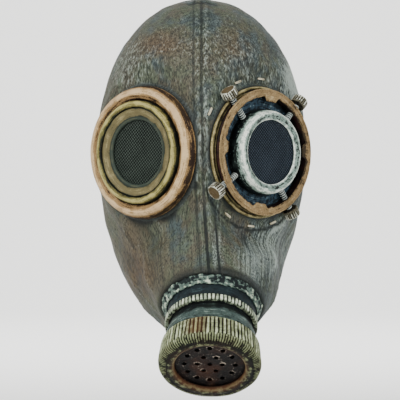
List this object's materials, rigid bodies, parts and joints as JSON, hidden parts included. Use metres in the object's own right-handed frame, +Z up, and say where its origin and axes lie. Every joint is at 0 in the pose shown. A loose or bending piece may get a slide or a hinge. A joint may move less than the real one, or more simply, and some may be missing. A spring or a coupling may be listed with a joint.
{
  "type": "gas mask style costume mask",
  "caption": "Over-the-head latex costume hood with a plain round eye, a screwed round eye with woven screens, and a ribbed filter canister on the snout.",
  "frame": {"origin": "inside of the hood's crown, where the mask sits on top of the head", "axes": "+Z up, -Y the way the face looks, +X to the viewer's right as the face is looked at"},
  "size_m": [0.1956, 0.2789, 0.3497],
  "materials": {
    "hood_latex": "matt grey-green latex, dry-brushed",
    "plain_rim_paint": "peach dry-brushed paint",
    "plain_ring_paint": "olive brown paint",
    "plain_dish_paint": "worn brown-green paint",
    "screen_mesh": "dark woven mesh",
    "base_paint": "aged metal paint",
    "wall_paint": "dark rust paint",
    "copper_paint": "worn copper",
    "well_paint": "blue-grey paint",
    "silver_paint": "silver rubbed over black",
    "screw_metal": "tarnished steel",
    "staple_metal": "dull wire",
    "collar_latex": "ragged latex wrap, dry-brushed pale green",
    "valve_paint": "dark paint",
    "nut_paint": "pale dry-brushed paint",
    "neck_paint": "smooth blue-green paint",
    "drum_paint": "yellow-green ribs over dark valleys",
    "grille_metal": "dark rusty metal"
  },
  "bodies": {
    "root": {"hood": "hood_latex", "plain_eye_rim": "plain_rim_paint", "plain_eye_ring": "plain_ring_paint", "plain_eye_dish": "plain_dish_paint", "plain_eye_screen": "screen_mesh", "screw_eye_base": "base_paint", "screw_eye_wall": "wall_paint", "screw_eye_plate": "copper_paint", "screw_eye_well": "well_paint", "screw_eye_lens_ring": "silver_paint", "screw_eye_screen": "screen_mesh", "screw_eye_screw_1": "screw_metal", "screw_eye_screw_2": "screw_metal", "screw_eye_screw_3": "screw_metal", "screw_eye_screw_4": "screw_metal", "screw_eye_knob_1": "screw_metal", "screw_eye_knob_2": "screw_metal", "screw_eye_knob_3": "screw_metal", "screw_eye_knob_4": "screw_metal", "screw_eye_staple_1": "staple_metal", "screw_eye_staple_2": "staple_metal", "screw_eye_staple_3": "staple_metal", "screw_eye_staple_4": "staple_metal", "screw_eye_staple_5": "staple_metal", "screw_eye_staple_6": "staple_metal", "valve_collar": "collar_latex", "valve_body": "valve_paint", "valve_nut": "nut_paint", "filter_neck": "neck_paint", "filter_drum": "drum_paint", "filter_grille": "grille_metal"}
  },
  "joints": []
}
